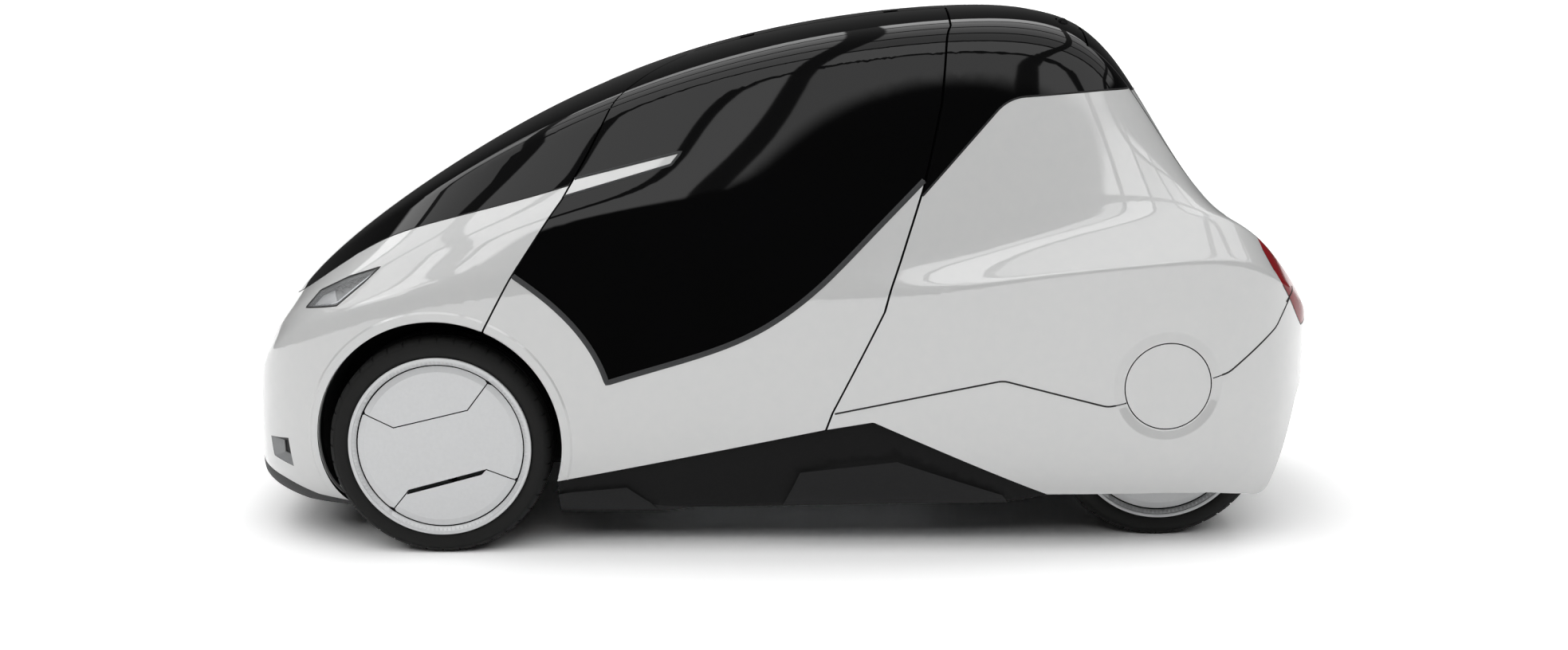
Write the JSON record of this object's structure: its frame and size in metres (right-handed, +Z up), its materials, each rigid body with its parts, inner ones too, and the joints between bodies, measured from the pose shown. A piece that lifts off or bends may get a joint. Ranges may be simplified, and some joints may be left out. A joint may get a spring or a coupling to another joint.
{
  "type": "electric city car",
  "caption": "Small electric city car with a rounded white body, dark glass canopy, gull-wing doors, rear hatch, steered front wheels and two seats in line.",
  "frame": {"origin": "on the ground, under the middle of the car's length and width", "axes": "+X towards the tail, +Y towards the car's right side, +Z up"},
  "size_m": [2.9006, 1.21, 1.4041],
  "materials": {
    "body_paint": "gloss white paint",
    "dark_glass": "dark tinted glass",
    "frame_black": "satin black",
    "trim_black": "grained black moulding",
    "lamp_clear": "clear lens",
    "lamp_red": "red lens",
    "chassis_metal": "black coated steel",
    "unit_metal": "cast, matt",
    "seat_cover": "dark woven cover",
    "interior": "soft-touch dark",
    "tyre": "matt rubber",
    "wheel_silver": "painted light silver"
  },
  "bodies": {
    "chassis": {"floor_pan": "frame_black", "jack_sockets": "frame_black", "battery_pack": "unit_metal", "front_body": "body_paint", "front_splitter": "trim_black", "headlamps": "lamp_clear", "windscreen": "dark_glass", "canopy_skin": "dark_glass", "cabin_frame": "frame_black", "rear_body": "body_paint", "rear_skirt": "body_paint", "side_discs": "body_paint", "tail_lamps": "lamp_red", "side_sills": "trim_black", "arch_liners": "frame_black", "front_suspension": "chassis_metal", "rear_axle": "chassis_metal", "drive_unit": "unit_metal", "front_seat": "seat_cover", "rear_seat": "seat_cover", "dashboard": "interior"},
    "steering": {"steering_wheel": "interior"},
    "upright_left": {"knuckle_left": "chassis_metal"},
    "upright_right": {"knuckle_right": "chassis_metal"},
    "roller_front_left": {"tyre_front_left": "tyre", "wheel_front_left": "wheel_silver"},
    "roller_front_right": {"tyre_front_right": "tyre", "wheel_front_right": "wheel_silver"},
    "roller_rear_left": {"tyre_rear_left": "tyre", "wheel_rear_left": "wheel_silver"},
    "roller_rear_right": {"tyre_rear_right": "tyre", "wheel_rear_right": "wheel_silver"},
    "door_left": {"door_panel_left": "body_paint", "door_glass_left": "dark_glass", "door_blade_left": "body_paint"},
    "door_right": {"door_panel_right": "body_paint", "door_glass_right": "dark_glass", "door_blade_right": "body_paint"},
    "hatch": {"hatch_panel": "body_paint", "hatch_glass": "dark_glass"}
  },
  "joints": [
    {"name": "steer_left", "type": "hinge", "parent": "chassis", "child": "upright_left", "pos_m": [-0.895, -0.465, 0.29], "axis": [0, 0, 1], "range_deg": [-30, 30]},
    {"name": "steer_right", "type": "hinge", "parent": "chassis", "child": "upright_right", "pos_m": [-0.895, 0.465, 0.29], "axis": [0, 0, 1], "range_deg": [-30, 30]},
    {"name": "steering_wheel_turn", "type": "hinge", "parent": "chassis", "child": "steering", "pos_m": [-0.395, 0, 0.8], "axis": [0.9063, 0, 0.4226], "range_deg": [-360, 360]},
    {"name": "roll_front_left", "type": "hinge", "parent": "upright_left", "child": "roller_front_left", "pos_m": [-0.895, -0.49, 0.29], "axis": [0, 1, 0], "continuous": true},
    {"name": "roll_front_right", "type": "hinge", "parent": "upright_right", "child": "roller_front_right", "pos_m": [-0.895, 0.49, 0.29], "axis": [0, 1, 0], "continuous": true},
    {"name": "roll_rear_left", "type": "hinge", "parent": "chassis", "child": "roller_rear_left", "pos_m": [1.01, -0.345, 0.29], "axis": [0, 1, 0], "continuous": true},
    {"name": "roll_rear_right", "type": "hinge", "parent": "chassis", "child": "roller_rear_right", "pos_m": [1.01, 0.345, 0.29], "axis": [0, 1, 0], "continuous": true},
    {"name": "door_left_swing", "type": "hinge", "parent": "chassis", "child": "door_left", "pos_m": [0.1, -0.04, 1.329], "axis": [-0.9874, 0, -0.1582], "range_deg": [0, 75]},
    {"name": "door_right_swing", "type": "hinge", "parent": "chassis", "child": "door_right", "pos_m": [0.1, 0.04, 1.329], "axis": [0.9874, 0, 0.1582], "range_deg": [0, 75]},
    {"name": "hatch_swing", "type": "hinge", "parent": "chassis", "child": "hatch", "pos_m": [0.745, 0, 1.362], "axis": [0, -1, 0], "range_deg": [0, 65]}
  ],
  "couplings": [
    {"joint": "steer_right", "follows": "steer_left", "ratio": 1},
    {"joint": "steering_wheel_turn", "follows": "steer_left", "ratio": 12}
  ]
}
